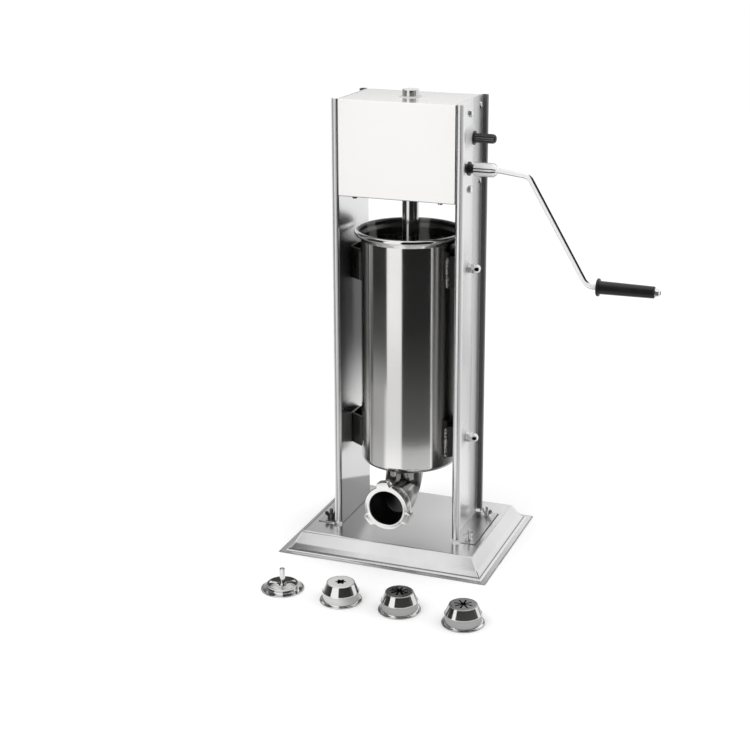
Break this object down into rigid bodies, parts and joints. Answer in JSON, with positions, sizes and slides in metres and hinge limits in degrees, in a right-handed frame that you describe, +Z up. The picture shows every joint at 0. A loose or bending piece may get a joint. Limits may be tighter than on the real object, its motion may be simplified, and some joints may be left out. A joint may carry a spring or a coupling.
{
  "type": "churro maker",
  "caption": "Hand-cranked upright churro press: a geared rack rod drives a piston down a steel barrel to an elbow outlet with a ring nut; star nozzles and a core insert lie in front.",
  "frame": {"origin": "on the table under the barrel's axis", "axes": "+Z up, +X towards the crank, -Y towards the outlet"},
  "size_m": [0.5184, 0.3939, 0.669],
  "materials": {
    "polished_sheet": "polished stainless sheet",
    "polished_nozzle": "polished stainless, spun",
    "plated_fastener": "bright stainless fasteners",
    "chrome_crank": "chrome plated",
    "machined_steel": "machined steel, lightly oiled",
    "black_plastic": "moulded black plastic",
    "rod_guide": "turned steel guide bush",
    "piston_seal": "white food-grade silicone"
  },
  "bodies": {
    "frame": {"base_pan": "polished_sheet", "left_column": "polished_sheet", "right_column": "polished_sheet", "foot_bolts": "plated_fastener", "foot_washers": "plated_fastener", "wing_nuts": "plated_fastener", "barrel": "polished_sheet", "barrel_bolts": "plated_fastener", "barrel_hex_nuts": "plated_fastener", "barrel_cap_nuts": "plated_fastener", "lower_right_bracket": "polished_sheet", "lower_left_bracket": "polished_sheet", "upper_right_bracket": "polished_sheet", "upper_left_bracket": "polished_sheet", "outlet_elbow": "polished_sheet", "threaded_collar": "polished_sheet", "head_cover": "polished_sheet", "head_floor": "polished_sheet", "head_floor_screws": "plated_fastener", "crossbar_screws": "plated_fastener", "cover_screws": "plated_fastener", "upper_crossbar": "machined_steel", "lower_crossbar": "machined_steel", "bearing_plate": "machined_steel", "bearing_plate_screws": "plated_fastener", "upper_rod_bush": "rod_guide", "lower_rod_bush": "rod_guide", "upper_shaft_bush": "black_plastic", "upper_shaft_left_bush": "black_plastic", "upper_shaft_middle_bush": "black_plastic", "lower_shaft_bush": "black_plastic", "lower_shaft_inner_bush": "black_plastic"},
    "piston_and_rod": {"rack_rod": "polished_sheet", "piston_disc": "polished_sheet", "piston_seal": "piston_seal", "piston_washer": "plated_fastener", "piston_nut": "plated_fastener"},
    "upper_gear_shaft": {"upper_shaft": "machined_steel", "pinion": "machined_steel", "pinion_pin": "plated_fastener", "large_gear": "machined_steel", "large_gear_pin": "plated_fastener", "upper_shaft_clip": "machined_steel", "shaft_cap": "black_plastic"},
    "crank": {"lower_shaft": "machined_steel", "small_gear": "machined_steel", "small_gear_pin": "plated_fastener", "lower_shaft_clip": "machined_steel", "crank_hub": "chrome_crank", "hub_screw": "plated_fastener", "crank_rod": "chrome_crank", "grip_washer": "plated_fastener", "grip_nut": "plated_fastener"},
    "grip": {"grip": "black_plastic"},
    "outlet_ring_nut": {"outlet_ring_nut": "polished_sheet"},
    "small_star_nozzle": {"small_star_nozzle": "polished_nozzle"},
    "broad_star_nozzle": {"broad_star_nozzle": "polished_nozzle"},
    "thin_star_nozzle": {"thin_star_nozzle": "polished_nozzle"},
    "core_insert": {"core_insert": "polished_nozzle", "core_pin": "polished_nozzle"}
  },
  "joints": [
    {"name": "piston_lift", "type": "slide", "parent": "frame", "child": "piston_and_rod", "axis": [0, 0, 1], "range_m": [0, 0.365]},
    {"name": "upper_shaft_turn", "type": "hinge", "parent": "frame", "child": "upper_gear_shaft", "pos_m": [0, 0.0205, 0.6023], "axis": [1, 0, 0], "range_deg": [-1743.25, 0]},
    {"name": "crank_turn", "type": "hinge", "parent": "frame", "child": "crank", "pos_m": [0, 0, 0.56224], "axis": [1, 0, 0], "range_deg": [0, 4408.62]},
    {"name": "grip_spin", "type": "hinge", "parent": "crank", "child": "grip", "pos_m": [0.31, 0, 0.40934], "axis": [1, 0, 0], "continuous": true},
    {"name": "ring_nut_off", "type": "slide", "parent": "frame", "child": "outlet_ring_nut", "axis": [0, -1, 0], "range_m": [0, 0.05]},
    {"name": "small_star_nozzle_lift", "type": "slide", "parent": "frame", "child": "small_star_nozzle", "axis": [0, 0, 1], "range_m": [0, 0.1]},
    {"name": "broad_star_nozzle_lift", "type": "slide", "parent": "frame", "child": "broad_star_nozzle", "axis": [0, 0, 1], "range_m": [0, 0.1]},
    {"name": "thin_star_nozzle_lift", "type": "slide", "parent": "frame", "child": "thin_star_nozzle", "axis": [0, 0, 1], "range_m": [0, 0.1]},
    {"name": "core_insert_lift", "type": "slide", "parent": "frame", "child": "core_insert", "axis": [0, 0, 1], "range_m": [0, 0.1]}
  ],
  "couplings": [
    {"joint": "upper_shaft_turn", "follows": "piston_lift", "rad_per_m": -83.333},
    {"joint": "crank_turn", "follows": "piston_lift", "rad_per_m": 210.78}
  ]
}
